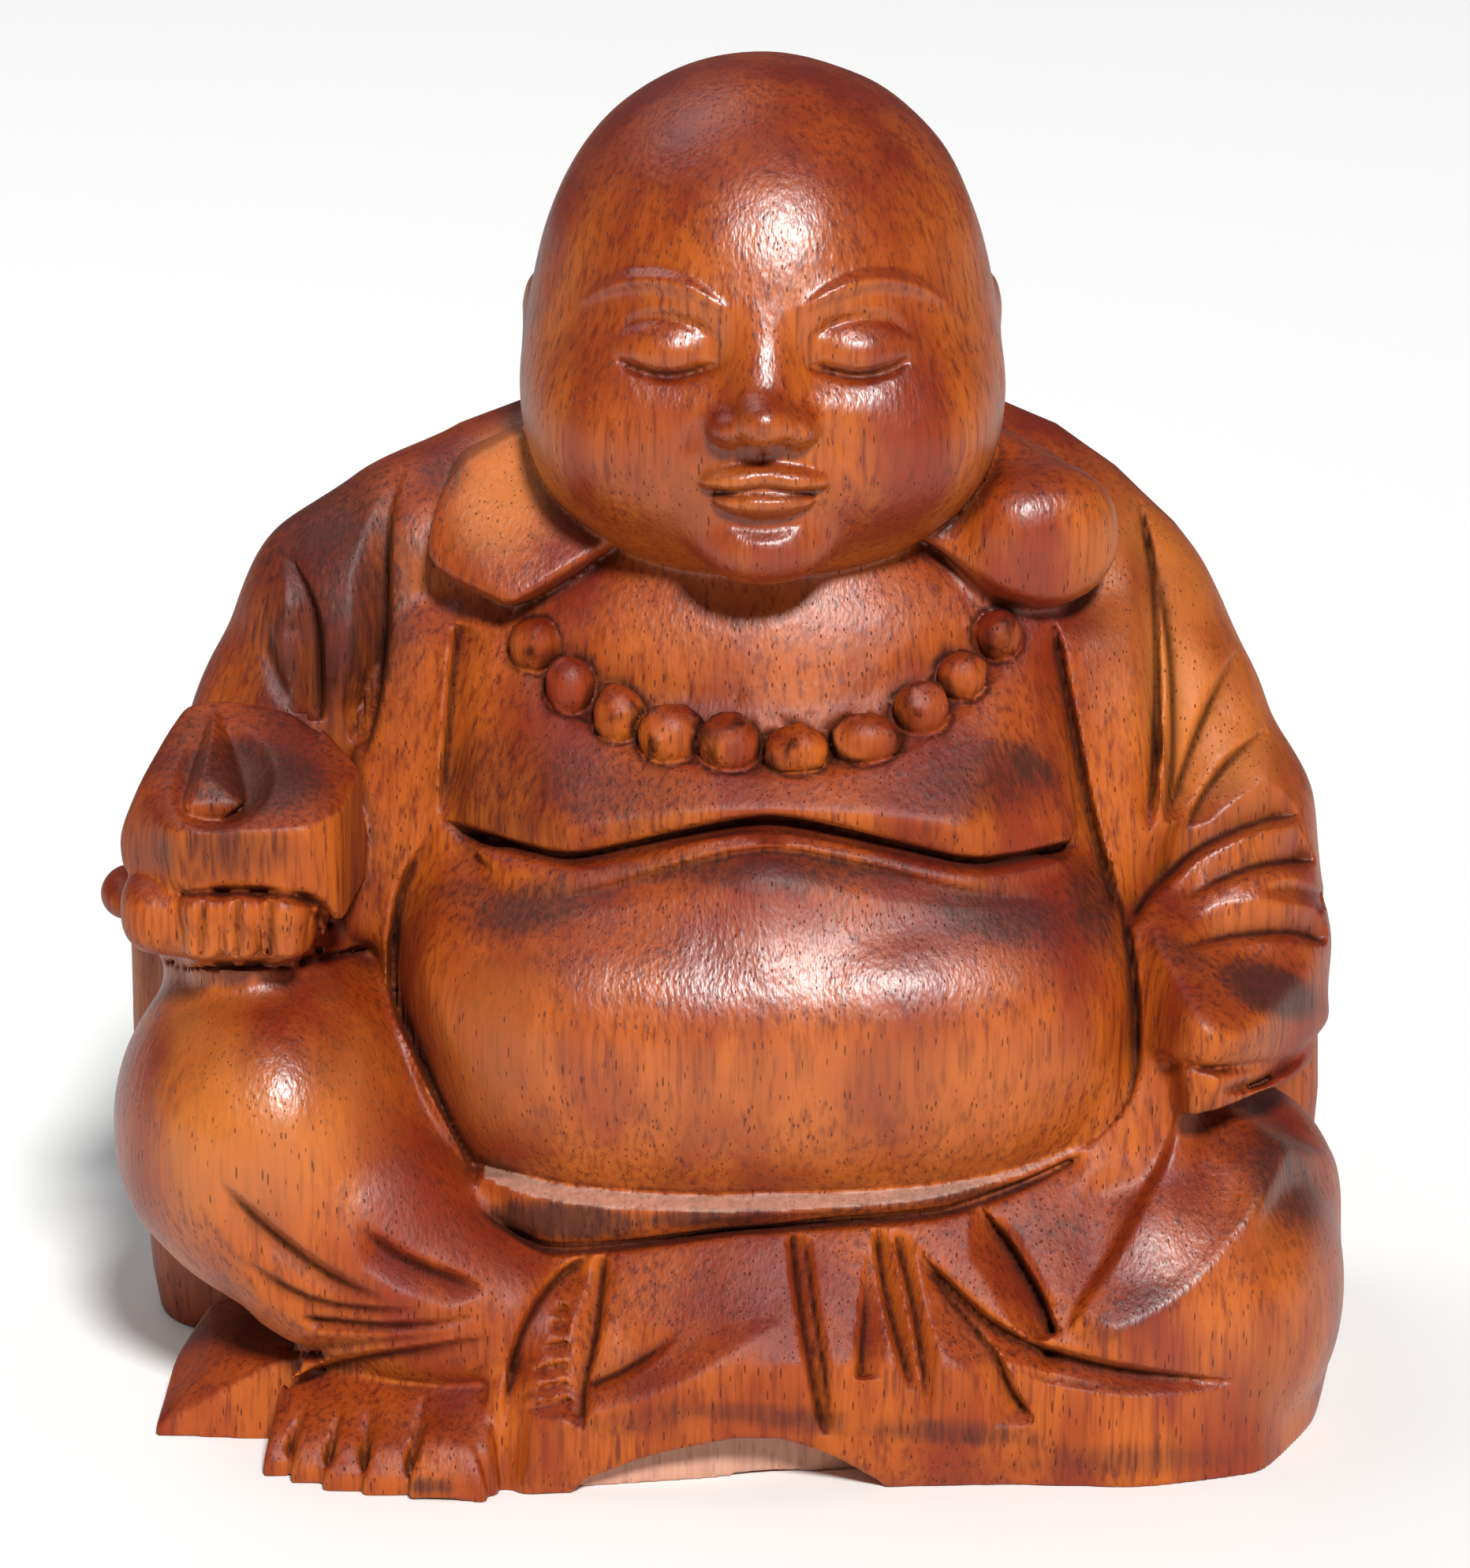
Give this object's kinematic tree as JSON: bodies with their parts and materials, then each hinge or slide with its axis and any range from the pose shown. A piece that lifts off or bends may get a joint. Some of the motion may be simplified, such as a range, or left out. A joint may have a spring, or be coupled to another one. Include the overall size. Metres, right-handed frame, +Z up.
{
  "type": "budai figure",
  "caption": "Seated laughing-monk style figure in one block of carved hardwood: round belly, open robe, bead necklace, raised knee with a fist holding an ingot, flat underside.",
  "frame": {"origin": "middle of the footprint box, on the ground plane the figure stands on", "axes": "+Z up, the figure faces -Y, +X to the right of someone who looks at its front"},
  "size_m": [0.1776, 0.1134, 0.1912],
  "materials": {
    "wood": "satin clear lacquer over red-brown hardwood"
  },
  "bodies": {
    "root": {"carved_figure": "wood"}
  },
  "joints": []
}
